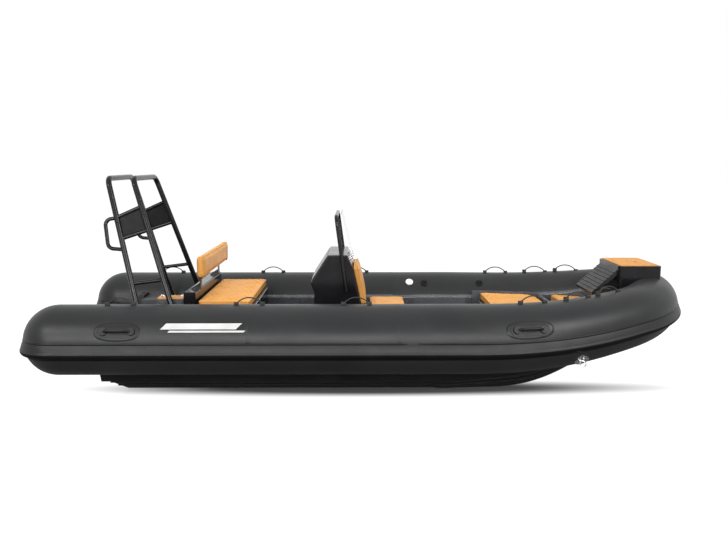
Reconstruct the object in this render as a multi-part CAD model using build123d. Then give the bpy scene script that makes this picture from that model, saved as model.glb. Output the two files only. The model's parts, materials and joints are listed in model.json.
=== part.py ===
from build123d import *
from math import asin, cos, degrees, pi, radians, sin, sqrt
import os

os.makedirs("parts", exist_ok=True)

# A rigid inflatable boat: a V hull carries two air tubes that meet at the bow.
# Frame: +X is the bow, +Y is port, +Z is up, in millimetres.
# The origin is amidships, on the centreline, at the waterline.

# Clearances
SEAT_GAP = 0.6
LID_GAP = 0.4
SIDE_GAP = 5.0
PANEL_GAP = 1.0
BOW_PLAY = 5.0
COAMING_PLAY = 7.0

# Longer than any piece, for the blocks that cut or keep
BEYOND = 10000.0

# Air tubes
TUBE_R = 258.0
TUBE_BOW_R = 222.0
TUBE_Y = 875.0
TUBE_Z = 340.0
TUBE_STERN_X = -2312.0
BOW_START_X = 670.0
BOW_ARC_R = 2770.0
BOW_ARC_TURN = 26.9
BOW_RISE = 160.0
BOW_STEPS = 8
BOW_LEAD = 250.0

# Rub strake, a half round along the widest line of the tubes
STRAKE_DROP = 59.0
STRAKE_WIDTH = 60.0
STRAKE_PROUD = 30.0
STRAKE_CUT = 3.0

# Hull
KEEL_Z = -272.0
HULL_TOP_Z = 78.0
TRANSOM_X = -2080.0
SEAT_FLANGE = 95.0
LIFT_STRAKE_AT = (0.40, 0.72)
LIFT_STRAKE_WIDTH = 0.05

# Cockpit
COCKPIT_INSET = 275.0
SOLE_THICK = 12.0
COAMING_RISE = 86.0
COAMING_EDGE_R = 22.0

# Transom and stern deck
TRANSOM_THICK = 50.0
TRANSOM_SIDE_Z = 455.0
ENGINE_CUT_Z = 262.0
WELL_HALF_WIDTH = 330.0
STERN_DECK_Z = 430.0
ENGINE_PAD_THICK = 16.0
ENGINE_PAD_WIDTH = 440.0
ENGINE_PAD_HEIGHT = 320.0
ENGINE_PAD_CORNER_R = 24.0
TRANSOM_SHOULDER = 90.0
STERN_STEP_X0 = -1690.0
STERN_STEP_X1 = -1480.0
STERN_STEP_Y0 = 362.0
STERN_STEP_Y1 = 500.0
STERN_STEP_Z = 576.0
STERN_STEP_CORNER_R = 14.0
PAD_THICK = 9.0
EYE_MARGIN = 26.0
EYE_R = 13.0
EYE_WIRE_R = 3.0
EYE_FOOT = 3.0

# Arch at the stern
ARCH_TUBE_R = 22.0
ARCH_RAIL_R = 15.0
ARCH_HANDLE_R = 15.0
ARCH_TOP_Z = 1503.0
ARCH_FOOT_Y = 553.0
ARCH_TOP_Y = 355.0
ARCH_BEND_R = 75.0
REAR_FOOT_X = -1812.0
REAR_TOP_X = -2076.0
FRONT_FOOT_X = -1540.0
FRONT_TOP_X = -1880.0
ARCH_SINK = 20.0
FOOT_R = 46.0
FOOT_THICK = 8.0
SIDE_PANEL_TOP_AFT_Z = 1203.0
SIDE_PANEL_TOP_FORE_Z = 1288.0
SIDE_PANEL_LOW_AFT_Z = 1040.0
SIDE_PANEL_LOW_FORE_Z = 1108.0
SIDE_PANEL_THICK = 4.0
LOWER_RAIL_AFT_Z = 697.0
LOWER_RAIL_FORE_Z = 728.0
HANDLE_TOP_Z = 1200.0
HANDLE_LOW_Z = 958.0
HANDLE_OUT = 92.0
HANDLE_LOW_OUT = 120.0
HANDLE_TOP_DROP = 14.0
HANDLE_LOW_RISE = 10.0
HANDLE_BEND_R = 48.0

# Rear bench
BENCH_X0 = -1370.0
BENCH_X1 = -950.0
BENCH_HALF_WIDTH = 596.0
BENCH_TOP_Z = 578.0
BOX_WALL = 18.0
LID_THICK = 16.0
CUSHION_THICK = 62.0
CUSHION_EDGE_R = 12.0
CUSHION_CORNER_R = 26.0
BENCH_BACK_X0 = -1462.0
BENCH_BACK_Z = 645.0
BACKREST_X0 = -1357.0
BACKREST_THICK = 52.0
BACKREST_Z0 = 748.0
BACKREST_Z1 = 926.0
BACKREST_HALF_WIDTH = 600.0
BACKREST_CORNER_R = 30.0
MOULDING_EDGE_R = 14.0
BRACKET_Y = 420.0
BRACKET_WIDTH = 60.0
BRACKET_THICK = 8.0
BRACKET_INSET = 30.0
BRACKET_DROP = 40.0
BRACKET_GUSSET = 40.0

# Steering console
CONSOLE_HALF_WIDTH = 350.0
CONSOLE_WALL = 8.0
CONSOLE_TOP_Z = 899.0
CONSOLE_BACK_X = -492.0
CONSOLE_LIP_X = -507.0
CONSOLE_LIP_Z = 681.0
CONSOLE_KNEE_X = -477.0
CONSOLE_KNEE_Z = 596.0
CONSOLE_EDGE_R = 9.0
CONSOLE_TOP_X0 = -367.0
CONSOLE_TOP_X1 = -216.0
CONSOLE_BROW_X = -178.0
CONSOLE_BROW_Z = 821.0
CONSOLE_FRONT_LEAN = 0.213
DASH_THICK = 4.0
DASH_MARGIN = 16.0
DASH_CORNER_R = 18.0
SCREEN_THICK = 6.0
SCREEN_HALF_WIDTH = 318.0
SCREEN_TOP_Z = 1226.0
SCREEN_LEAN = 0.247
SCREEN_STANDOFF = 14.0
SCREEN_CORNER_R = 45.0
SCREEN_DROP_SHARE = 0.4
SCREEN_MOUNT_Y = (-250.0, -85.0, 85.0, 250.0)
SCREEN_MOUNT_R = 9.0
SCREEN_MOUNT_LENGTH = 42.0
RAIL_R = 15.0
RAIL_FOOT_X = -223.0
RAIL_FOOT_Z = 612.0
RAIL_TOP_X = -301.0
RAIL_TOP_Z = 1204.0
RAIL_BEND_R = 70.0
RAIL_STANDOFF = 6.0
RAIL_STUD_Z = (628.0, 840.0)
RAIL_STUD_R = 10.0
BACK_PAD_THICK = 46.0
BACK_PAD_TOP_Z = 806.0
BACK_PAD_LOW_Z = 478.0
FORE_SEAT_X1 = 268.0
FORE_SEAT_HALF_WIDTH = 300.0
FORE_SEAT_TOP_Z = 465.0

# Bow lockers: the hatch is (x, half width) down one side, aft to fore
BOW_LOCKER_X0 = 965.0
BOW_LOCKER_X1 = 1480.0
BOW_HATCH = ((965.0, 518.0), (1345.0, 452.0), (1440.0, 360.0))
BOW_HATCH_PLAY = 12.0
BOLSTER_X0 = 905.0
BOLSTER_TOP_Z = 472.0
BOW_SEAT_TOP_Z = 462.0
BOW_DECK_X0 = 1530.0
BOW_DECK_X1 = 1850.0
BOW_DECK_DROP = 60.0
BOW_CUSHION_X0 = 1580.0
BOW_INSET = 12.0

# Bow step, a moulding that sits astride the tubes where they meet
STEP_X0 = 1965.0
STEP_X1 = 2312.0
STEP_HALF_WIDTH = 280.0
STEP_TOP_Z = 786.0
STEP_LOW_Z = 588.0
STEP_FLOOR_Z = 735.0
STEP_WALL = 14.0
STEP_LID_THICK = 14.0
STEP_PAD_THICK = 6.0
STEP_PAD_MARGIN = 16.0
STEP_CORNER_R = 30.0
STEP_GRIP_X = 2184.0
STEP_GRIP_LENGTH = 62.0
STEP_GRIP_WIDTH = 28.0
TREAD_LOW_X = 1770.0
TREAD_LOW_Z = 560.0
TREAD_LOW_SLANT = 6.0
TREAD_HALF_WIDTH = 235.0
TREAD_THICK = 22.0
TREAD_DROP = 20.0
TREAD_RIBS = 7
TREAD_RIB_R = 5.0

# Fittings on the tubes
LOOP_X = (-1864.0, -925.0, -142.0, 1158.0, 1510.0, 1770.0)
LOOP_SPAN = 190.0
LOOP_HEIGHT = 52.0
LOOP_CORD_R = 4.5
LOOP_PAD = (34.0, 22.0, 6.0)
GRIP_X = (-1829.0, 1062.0)
GRIP_ANGLE = 24.0
GRIP_LENGTH = 292.0
GRIP_WIDTH = 96.0
GRIP_BASE_THICK = 5.0
GRIP_REACH = 46.0
GRIP_BAR_R = 10.0
GRIP_END_R = 31.0
GRIP_END_THICK = 15.0
GRIP_END_TAPER = 12.0
GRIP_SLOPE = 40.0
GRIP_BEND_R = 24.0
VALVE_X = 345.0
VALVE_ANGLE = 133.0
VALVE_R = 34.0
VALVE_THICK = 8.0
LASHING_X = (480.0, 1008.0)
LASHING_ANGLE = 135.0
LASHING_PATCH_R = 34.0
LASHING_RING_R = 15.0
TOW_RING_X = 1465.0
TOW_RING_ANGLE = -48.0
TOW_RING_R = 24.0
TOW_WIRE_R = 4.0
TOW_PATCH_R = 55.0
TOW_PATCH_THICK = 5.0
PATCH_SINK = 12.0

# Sizes that follow from those above
SOLE_TOP_Z = HULL_TOP_Z + SOLE_THICK
BOW_TIP_R = (TUBE_Y - BOW_ARC_R * (1 - cos(radians(BOW_ARC_TURN)))) / cos(radians(BOW_ARC_TURN))
BOW_TURN_X = BOW_START_X + BOW_ARC_R * sin(radians(BOW_ARC_TURN))
BOW_CENTRE_X = BOW_TURN_X - BOW_TIP_R * sin(radians(BOW_ARC_TURN))
BOW_ARC_LENGTH = BOW_ARC_R * radians(BOW_ARC_TURN)
BOW_LENGTH = BOW_ARC_LENGTH + BOW_TIP_R * radians(90 - BOW_ARC_TURN)
BOW_SEAM_X = BOW_START_X - 2 * BOW_LEAD
STRAKE_ANGLE = degrees(asin(STRAKE_DROP / TUBE_R))
STRAKE_HALF_ANGLE = degrees(STRAKE_WIDTH / 2 / TUBE_R)


class Station:
    """A section of the port tube: a plane across it and its radius, from the run past the straight part."""

    def __init__(self, run):
        if run <= 0:
            angle = 0.0
            x, y = BOW_START_X + run, TUBE_Y
        elif run <= BOW_ARC_LENGTH:
            angle = run / BOW_ARC_R
            x, y = BOW_START_X + BOW_ARC_R * sin(angle), TUBE_Y - BOW_ARC_R * (1 - cos(angle))
        else:
            angle = radians(BOW_ARC_TURN) + (run - BOW_ARC_LENGTH) / BOW_TIP_R
            x, y = BOW_CENTRE_X + BOW_TIP_R * sin(angle), BOW_TIP_R * cos(angle)
        share = max(0.0, run / BOW_LENGTH)
        z = TUBE_Z + BOW_RISE * share**3 * (4 - 3 * share)
        self.r = TUBE_R + (TUBE_BOW_R - TUBE_R) * share**2 * (3 - 2 * share)
        self.plane = Plane((x, y, z), x_dir=(sin(angle), cos(angle), 0), z_dir=(cos(angle), -sin(angle), 0))


def run_at(x):
    """How far past the straight part the port tube's centre line reaches x."""
    if x <= BOW_START_X:
        return x - BOW_START_X
    if x <= BOW_TURN_X:
        return BOW_ARC_R * asin((x - BOW_START_X) / BOW_ARC_R)
    angle = asin(min(1.0, (x - BOW_CENTRE_X) / BOW_TIP_R))
    return BOW_ARC_LENGTH + BOW_TIP_R * (angle - radians(BOW_ARC_TURN))


def bow_sections(profile):
    """Sections from the port seam round the bow to the starboard seam; profile(r) gives each face."""
    runs = [-2 * BOW_LEAD, -BOW_LEAD] + [BOW_LENGTH * step / BOW_STEPS for step in range(BOW_STEPS + 1)]
    port = [Station(run) for run in runs]
    faces = [station.plane * profile(station.r) for station in port]
    for station in reversed(port[:-1]):
        origin, across, ahead = station.plane.origin, station.plane.x_dir, station.plane.z_dir
        spot = (origin.X, -origin.Y, origin.Z)
        plane = Plane(spot, x_dir=(across.X, -across.Y, 0), z_dir=(-ahead.X, ahead.Y, 0))
        faces.append(plane * profile(station.r))
    return faces


def straight_run(profile, x0, x1):
    """A profile carried along the straight part of the port tube."""
    return extrude(Station(x0 - BOW_START_X).plane * profile(TUBE_R), x1 - x0)


def tube_profile(r):
    return Circle(r)


def skin_profile(r):
    return Circle(r + SEAT_GAP)


def on_ring(r, angle):
    """A point of the section plane at radius r and an angle above outboard."""
    return (r * cos(radians(angle)), r * sin(radians(angle)))


def strake_profile(r, seat=SEAT_GAP):
    top = on_ring(r + seat, STRAKE_HALF_ANGLE - STRAKE_ANGLE)
    low = on_ring(r + seat, -STRAKE_HALF_ANGLE - STRAKE_ANGLE)
    base = ThreePointArc(top, on_ring(r + seat, -STRAKE_ANGLE), low)
    crown = ThreePointArc(low, on_ring(r + STRAKE_PROUD, -STRAKE_ANGLE), top)
    return make_face([base, crown])


def deep_strake_profile(r):
    return strake_profile(r, -STRAKE_CUT)


def coaming_floor(r):
    return HULL_TOP_Z - TUBE_Z + TUBE_R - r + 2 * SEAT_GAP


def coaming_room_profile(r):
    """The coaming's room in the hull, wide enough inboard to join the cockpit's."""
    outer = SEAT_GAP - SEAT_FLANGE
    inner = -COCKPIT_INSET - COAMING_EDGE_R
    low = coaming_floor(r) - SEAT_GAP
    corners = [(outer, low), (outer, COAMING_RISE), (inner, COAMING_RISE), (inner, low)]
    return make_face(Polyline(*corners, close=True))


def coaming_profile(r, play=0.0):
    """Flange, inner wall and rounded ledge, before the tube's seat is cut from it."""
    floor_z = coaming_floor(r) + play
    outer = -SEAT_FLANGE - play
    inner = -COCKPIT_INSET
    edge = COAMING_EDGE_R
    bulge = edge * (1 - cos(pi / 4))
    lines = [
        Line((outer, COAMING_RISE), (outer, floor_z)),
        Line((outer, floor_z), (inner, floor_z)),
        Line((inner, floor_z), (inner, COAMING_RISE - edge)),
        ThreePointArc(
            (inner, COAMING_RISE - edge), (inner + bulge, COAMING_RISE - bulge), (inner + edge, COAMING_RISE)
        ),
        Line((inner + edge, COAMING_RISE), (outer, COAMING_RISE)),
    ]
    return make_face(lines)


def bow_coaming_profile(r):
    return coaming_profile(r, COAMING_PLAY)


def plan_face(inset, x0, x1):
    """The plan between the tubes, inset from their centre lines, between two places along the boat."""
    side = TUBE_Y - inset
    turn = radians(BOW_ARC_TURN)
    arc_r = BOW_ARC_R - inset
    tip_r = BOW_TIP_R - inset
    half = turn / 2
    tip = (turn + pi / 2) / 2
    lines = [Line((x0, -side), (x0, side))]
    for sign in (1, -1):
        start = (BOW_START_X, sign * side)
        middle = (BOW_START_X + arc_r * sin(half), sign * (side - arc_r * (1 - cos(half))))
        join = (BOW_START_X + arc_r * sin(turn), sign * (side - arc_r * (1 - cos(turn))))
        bend = (BOW_CENTRE_X + tip_r * sin(tip), sign * tip_r * cos(tip))
        lines.append(Line((x0, sign * side), start))
        lines.append(ThreePointArc(start, middle, join))
        lines.append(ThreePointArc(join, bend, (BOW_CENTRE_X + tip_r, 0)))
    window = Pos((x0 + x1) / 2, 0) * Rectangle(x1 - x0, 2 * TUBE_Y)
    return make_face(lines) & window


def block(x0, x1, y0, y1, z0, z1):
    """A box between two corners."""
    centre = ((x0 + x1) / 2, (y0 + y1) / 2, (z0 + z1) / 2)
    return Pos(*centre) * Box(x1 - x0, y1 - y0, z1 - z0)


def prism(points, y0, y1):
    """A side outline of (x, z) points, carried across the boat from y0 to y1."""
    face = make_face(Polyline(*[(x, y0, z) for x, z in points], close=True))
    return extrude(face, y1 - y0, dir=(0, 1, 0))


def pipe(points, radius, bend):
    """A round bar along straight runs joined by equal bends."""
    path = FilletPolyline(*points, radius=bend)
    section = Plane(path @ 0, z_dir=path % 0) * Circle(radius)
    return sweep(section, path)


def rod(start, end, radius):
    """A straight round bar between two points."""
    run = Vector(*end) - Vector(*start)
    return extrude(Plane(start, z_dir=run) * Circle(radius), run.length)


def both_sides(solid):
    """A port solid and its mirror image to starboard."""
    return solid + mirror(solid, about=Plane.XZ)


def save(node, shape):
    solids = list(shape.solids())
    shape = solids[0] if len(solids) == 1 else Compound(children=solids)
    shape.label = node
    export_step(shape, f"parts/{node}.step")


def main_solid(shape):
    return shape.solids().sort_by(SortBy.VOLUME)[-1]


def seated(shape):
    """A fitting with the tubes' room cut away, so that it seats on them."""
    return main_solid(shape - skins)


# Air tubes: two straight ones with round sterns, and one round the bow
def side_tube(r):
    stern = Pos(TUBE_STERN_X, 0) * (Circle(r) & Pos(-r, 0) * Rectangle(2 * r, 2 * r))
    whole = stern + Pos((TUBE_STERN_X + BOW_SEAM_X) / 2, 0) * Rectangle(BOW_SEAM_X - TUBE_STERN_X, 2 * r)
    half = whole & Pos(0, r) * Rectangle(BEYOND, 2 * r)
    return Pos(0, TUBE_Y, TUBE_Z) * revolve(half, Axis.X, 360)


tube_port = side_tube(TUBE_R)
skins = [side_tube(TUBE_R + SEAT_GAP)]
skins.append(mirror(skins[0], about=Plane.XZ))
skins.append(loft(bow_sections(skin_profile)))
save("tube_port", tube_port)
save("tube_starboard", mirror(tube_port, about=Plane.XZ))
save("tube_bow", loft(bow_sections(tube_profile)))

# Rub strakes
stern_axis = Axis((TUBE_STERN_X, TUBE_Y, 0), (0, 0, 1))
stern_plane = Station(TUBE_STERN_X - BOW_START_X).plane
strake_wrap = revolve(stern_plane * strake_profile(TUBE_R), stern_axis, 180)
strake_port = straight_run(strake_profile, TUBE_STERN_X, BOW_SEAM_X) + strake_wrap
save("rub_strake_port", strake_port)
save("rub_strake_starboard", mirror(strake_port, about=Plane.XZ))
strake_bow = loft(bow_sections(deep_strake_profile))
save("rub_strake_bow", main_solid(strake_bow - skins[2]))


# Hull
# Each row is a section: x, keel z, chine y, chine z, chine flat, roof y, roof z
HULL_SECTIONS = (
    (500.0, KEEL_Z, 640.0, -22.0, 72.0, 785.0, 130.0),
    (820.0, KEEL_Z + 1, 612.0, -12.0, 68.0, 774.0, 132.0),
    (1110.0, KEEL_Z + 10, 560.0, 10.0, 60.0, 745.0, 142.0),
    (1370.0, -213.0, 488.0, 46.0, 50.0, 690.0, 162.0),
    (1610.0, -110.0, 388.0, 100.0, 38.0, 615.0, 195.0),
    (1820.0, 22.0, 268.0, 165.0, 26.0, 520.0, 240.0),
    (1990.0, 165.0, 142.0, 245.0, 14.0, 410.0, 295.0),
    (2120.0, 306.0, 24.0, 332.0, 5.0, 270.0, 350.0),
)


def hull_section(row):
    x, keel_z, chine_y, chine_z, flat, roof_y, roof_z = row
    rise = (chine_z - keel_z) / chine_y
    half = [(0, keel_z)]
    for share in LIFT_STRAKE_AT:
        inner_y = share * chine_y
        outer_y = (share + LIFT_STRAKE_WIDTH) * chine_y
        half += [(inner_y, keel_z + rise * inner_y), (outer_y, keel_z + rise * inner_y)]
        half.append((outer_y, keel_z + rise * outer_y))
    half += [(chine_y, chine_z), (chine_y + flat, chine_z), (roof_y, roof_z)]
    outline = half + [(-y, z) for y, z in reversed(half[1:])]
    return make_face(Polyline(*[(x, y, z) for y, z in outline], close=True))


def carved(solid, cutters):
    for cutter in cutters:
        solid = main_solid(solid - cutter)
    return solid


forebody_x0 = HULL_SECTIONS[0][0]
midbody = extrude(hull_section(HULL_SECTIONS[0]), forebody_x0 - TRANSOM_X, dir=(-1, 0, 0))
forebody = loft([hull_section(row) for row in HULL_SECTIONS])
cockpit_plan = plan_face(COCKPIT_INSET, TRANSOM_X, BOW_CENTRE_X + BOW_TIP_R)
cockpit_room = Pos(0, 0, HULL_TOP_Z) * extrude(cockpit_plan, TUBE_Z, dir=(0, 0, 1))
side_room = straight_run(coaming_room_profile, TRANSOM_X - SIDE_GAP, forebody_x0 + SIDE_GAP)
bow_room = loft(bow_sections(coaming_room_profile))
midbody = carved(midbody, [cockpit_room, side_room, mirror(side_room, about=Plane.XZ)] + skins)
forebody = carved(forebody, [cockpit_room, bow_room, skins[2]])
save("hull", midbody + forebody)
side_block = straight_run(coaming_profile, TRANSOM_X, BOW_SEAM_X)
bow_block = loft(bow_sections(bow_coaming_profile))
coaming_port = main_solid(side_block - skins[0])
save("coaming_port", coaming_port)
save("coaming_starboard", mirror(coaming_port, about=Plane.XZ))
save("coaming_bow", main_solid(bow_block - skins[2]))

sole_plan = plan_face(COCKPIT_INSET + BOW_PLAY, TRANSOM_X + TRANSOM_THICK, BOW_LOCKER_X1)
save("cockpit_sole", Pos(0, 0, HULL_TOP_Z) * extrude(sole_plan, SOLE_THICK, dir=(0, 0, 1)))

# Transom, cut down between the tubes for an outboard engine
side_y = TUBE_Y - COCKPIT_INSET - PANEL_GAP
transom_half = [
    (side_y, HULL_TOP_Z),
    (side_y, TRANSOM_SIDE_Z),
    (WELL_HALF_WIDTH + TRANSOM_SHOULDER, TRANSOM_SIDE_Z),
    (WELL_HALF_WIDTH, ENGINE_CUT_Z),
]
transom_outline = transom_half + [(-y, z) for y, z in reversed(transom_half)]
transom_face = make_face(Polyline(*[(TRANSOM_X, y, z) for y, z in transom_outline], close=True))
save("transom", extrude(transom_face, TRANSOM_THICK, dir=(1, 0, 0)))
pad_y = ENGINE_PAD_WIDTH / 2
pad_z = ENGINE_CUT_Z - ENGINE_PAD_HEIGHT
pad = block(TRANSOM_X - ENGINE_PAD_THICK, TRANSOM_X, -pad_y, pad_y, pad_z, ENGINE_CUT_Z)
save("engine_pad", fillet(pad.edges().filter_by(Axis.X), ENGINE_PAD_CORNER_R))

# Stern deck boxes each side of the engine well, with a raised step to starboard
deck_x0 = TRANSOM_X + TRANSOM_THICK
deck_port = block(deck_x0, BENCH_BACK_X0, WELL_HALF_WIDTH, side_y, SOLE_TOP_Z, STERN_DECK_Z)
save("stern_decks", both_sides(deck_port))
pad_top = STERN_STEP_Z + PAD_THICK
stern_step = block(STERN_STEP_X0, STERN_STEP_X1, -STERN_STEP_Y1, -STERN_STEP_Y0, STERN_DECK_Z, STERN_STEP_Z)
save("stern_step", fillet(stern_step.edges().filter_by(Axis.Z), STERN_STEP_CORNER_R))
foot_pad = block(STERN_STEP_X0, STERN_STEP_X1, -STERN_STEP_Y1, -STERN_STEP_Y0, STERN_STEP_Z, pad_top)
save("stern_step_pad", fillet(foot_pad.edges().filter_by(Axis.Z), STERN_STEP_CORNER_R))
eyes = []
for x in (STERN_STEP_X0 + EYE_MARGIN, STERN_STEP_X1 - EYE_MARGIN):
    spot = Pos(x, -(STERN_STEP_Y0 + STERN_STEP_Y1) / 2, pad_top)
    hoop_eye = spot * Rot(X=90) * Torus(EYE_R, EYE_WIRE_R)
    foot = spot * Pos(0, 0, EYE_FOOT / 2) * Cylinder(EYE_R + EYE_WIRE_R, EYE_FOOT)
    eyes.append((hoop_eye & block(x - BEYOND, x + BEYOND, -BEYOND, 0, pad_top, BEYOND)) + foot)
save("stern_eyes", Compound(children=eyes))


# Arch
def arch_share(z):
    return (z - STERN_DECK_Z) / (ARCH_TOP_Z - STERN_DECK_Z)


def rear_leg(z):
    x = REAR_FOOT_X + (REAR_TOP_X - REAR_FOOT_X) * arch_share(z)
    return (x, ARCH_FOOT_Y + (ARCH_TOP_Y - ARCH_FOOT_Y) * arch_share(z), z)


def front_leg(z):
    x = FRONT_FOOT_X + (FRONT_TOP_X - FRONT_FOOT_X) * arch_share(z)
    return (x, ARCH_FOOT_Y + (ARCH_TOP_Y - ARCH_FOOT_Y) * arch_share(z), z)


def hoop(leg):
    foot_top = STERN_DECK_Z + FOOT_THICK
    ends = [leg(STERN_DECK_Z - ARCH_SINK), leg(ARCH_TOP_Z)]
    points = ends + [(x, -y, z) for x, y, z in reversed(ends)]
    tube = pipe(points, ARCH_TUBE_R, ARCH_BEND_R)
    x, y, z = leg(STERN_DECK_Z)
    tube -= block(-BEYOND, BEYOND, -BEYOND, BEYOND, -BEYOND, foot_top)
    foot = Pos(x, y, z + FOOT_THICK / 2) * Cylinder(FOOT_R, FOOT_THICK)
    return tube + both_sides(foot)


rear_hoop = hoop(rear_leg)
front_hoop = hoop(front_leg)
save("arch_rear_hoop", rear_hoop)
save("arch_front_hoop", front_hoop)


def clip(shape):
    """Ends a welded piece at the wall of both hoops."""
    kept = shape - rear_hoop - front_hoop
    return main_solid(kept)


RAIL_ROWS = (
    (SIDE_PANEL_TOP_AFT_Z, SIDE_PANEL_TOP_FORE_Z),
    (SIDE_PANEL_LOW_AFT_Z, SIDE_PANEL_LOW_FORE_Z),
    (LOWER_RAIL_AFT_Z, LOWER_RAIL_FORE_Z),
)
rails = [clip(rod(rear_leg(aft_z), front_leg(fore_z), ARCH_RAIL_R)) for aft_z, fore_z in RAIL_ROWS]
save("arch_side_rails", both_sides(Compound(children=rails)))

panel_corners = [
    rear_leg(SIDE_PANEL_LOW_AFT_Z),
    front_leg(SIDE_PANEL_LOW_FORE_Z),
    front_leg(SIDE_PANEL_TOP_FORE_Z),
    rear_leg(SIDE_PANEL_TOP_AFT_Z),
]
panel_normal = (Vector(*panel_corners[1]) - Vector(*panel_corners[0])).cross(
    Vector(*panel_corners[3]) - Vector(*panel_corners[0])
)
panel_plane = Plane(panel_corners[0], z_dir=panel_normal)
panel_outline = [panel_plane.to_local_coords(Vector(*corner)) for corner in panel_corners]
panel_face = make_face(Polyline(*[(point.X, point.Y) for point in panel_outline], close=True))
panel = extrude(panel_plane * panel_face, SIDE_PANEL_THICK / 2, both=True)
panel = clip(panel - rails[0] - rails[1])
save("arch_side_panels", both_sides(panel))

handle_top = rear_leg(HANDLE_TOP_Z)
handle_low = rear_leg(HANDLE_LOW_Z)
handle_out_top = (handle_top[0] - HANDLE_OUT, handle_top[1], handle_top[2] - HANDLE_TOP_DROP)
handle_out_low = (handle_low[0] - HANDLE_LOW_OUT, handle_low[1], handle_low[2] + HANDLE_LOW_RISE)
handle = pipe([handle_top, handle_out_top, handle_out_low, handle_low], ARCH_HANDLE_R, HANDLE_BEND_R)
save("arch_handles", both_sides(clip(handle)))


# Seats and lockers
def open_box(x0, x1, half, z0, z1, wall):
    """A box open at the top, with a floor and four walls."""
    outside = block(x0, x1, -half, half, z0, z1)
    return outside - block(x0 + wall, x1 - wall, wall - half, half - wall, z0 + wall, z1 + 1)


def save_lid(name, face_plan, box_z):
    lid_z = box_z + LID_GAP
    save(f"{name}_lid", Pos(0, 0, lid_z) * extrude(face_plan, LID_THICK, dir=(0, 0, 1)))
    cushion = Pos(0, 0, lid_z + LID_THICK) * extrude(face_plan, CUSHION_THICK, dir=(0, 0, 1))
    save(f"{name}_cushion", fillet(cushion.edges().group_by(Axis.Z)[-1], CUSHION_EDGE_R))


def seat_plan(x0, x1, half):
    return Pos((x0 + x1) / 2, 0) * RectangleRounded(x1 - x0, 2 * half, CUSHION_CORNER_R)


bench_z = BENCH_TOP_Z - CUSHION_THICK - LID_THICK - LID_GAP
save("rear_bench_box", open_box(BENCH_X0, BENCH_X1, BENCH_HALF_WIDTH, SOLE_TOP_Z, bench_z, BOX_WALL))
save_lid("rear_bench", seat_plan(BENCH_X0 + SIDE_GAP, BENCH_X1, BENCH_HALF_WIDTH), bench_z)
back_moulding = block(BENCH_BACK_X0, BENCH_X0, -BENCH_HALF_WIDTH, BENCH_HALF_WIDTH, SOLE_TOP_Z, BENCH_BACK_Z)
save("rear_bench_back", fillet(back_moulding.edges().filter_by(Axis.Y).sort_by(Axis.Z)[-2:], MOULDING_EDGE_R))
backrest_x1 = BACKREST_X0 + BACKREST_THICK
rest_y = BACKREST_HALF_WIDTH
backrest = block(BACKREST_X0, backrest_x1, -rest_y, rest_y, BACKREST_Z0, BACKREST_Z1)
backrest = fillet(backrest.edges().filter_by(Axis.X), BACKREST_CORNER_R)
save("rear_backrest_cushion", fillet(backrest.edges().group_by(Axis.X)[-1], CUSHION_EDGE_R))
bracket_x1 = BACKREST_X0 - SEAT_GAP
bracket_x0 = bracket_x1 - BRACKET_THICK
bracket_outline = [
    (BENCH_BACK_X0 + BRACKET_INSET, BENCH_BACK_Z),
    (bracket_x1, BENCH_BACK_Z),
    (bracket_x1, BACKREST_Z1 - BRACKET_DROP),
    (bracket_x0, BACKREST_Z1 - BRACKET_DROP),
    (bracket_x0, BENCH_BACK_Z + BRACKET_THICK + BRACKET_GUSSET),
    (BENCH_BACK_X0 + BRACKET_INSET, BENCH_BACK_Z + BRACKET_THICK),
]
bracket = prism(bracket_outline, BRACKET_Y - BRACKET_WIDTH / 2, BRACKET_Y + BRACKET_WIDTH / 2)
save("rear_backrest_brackets", both_sides(bracket))

# Steering console, a hollow moulding
front_low_x = CONSOLE_BROW_X + CONSOLE_FRONT_LEAN * (CONSOLE_BROW_Z - SOLE_TOP_Z)
console_outline = [
    (CONSOLE_BACK_X, SOLE_TOP_Z),
    (front_low_x, SOLE_TOP_Z),
    (CONSOLE_BROW_X, CONSOLE_BROW_Z),
    (CONSOLE_TOP_X1, CONSOLE_TOP_Z),
    (CONSOLE_TOP_X0, CONSOLE_TOP_Z),
    (CONSOLE_LIP_X, CONSOLE_LIP_Z),
    (CONSOLE_KNEE_X, CONSOLE_KNEE_Z),
]
console = prism(console_outline, -CONSOLE_HALF_WIDTH, CONSOLE_HALF_WIDTH)
side_edges = [edge for edge in console.edges() if abs(edge.center().Y) > CONSOLE_HALF_WIDTH - 1]
side_edges = [edge for edge in side_edges if edge.center().Z > SOLE_TOP_Z + 1]
console = fillet(side_edges, CONSOLE_EDGE_R)
inner_face = make_face(Polyline(*[(x, 0, z) for x, z in console_outline], close=True))
inner_face = offset(inner_face, -CONSOLE_WALL, kind=Kind.INTERSECTION)
console -= extrude(inner_face, CONSOLE_HALF_WIDTH - CONSOLE_WALL, dir=(0, 1, 0), both=True)
save("console_body", console)

dash_run = Vector(CONSOLE_TOP_X0 - CONSOLE_LIP_X, 0, CONSOLE_TOP_Z - CONSOLE_LIP_Z)
dash_centre = ((CONSOLE_TOP_X0 + CONSOLE_LIP_X) / 2, 0, (CONSOLE_TOP_Z + CONSOLE_LIP_Z) / 2)
dash_plane = Plane(dash_centre, x_dir=(0, 1, 0), z_dir=(-dash_run.Z, 0, dash_run.X))
dash_size = (2 * (CONSOLE_HALF_WIDTH - DASH_MARGIN), dash_run.length - 2 * DASH_MARGIN)
save("console_dash", extrude(dash_plane * RectangleRounded(*dash_size, DASH_CORNER_R), DASH_THICK))

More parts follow.
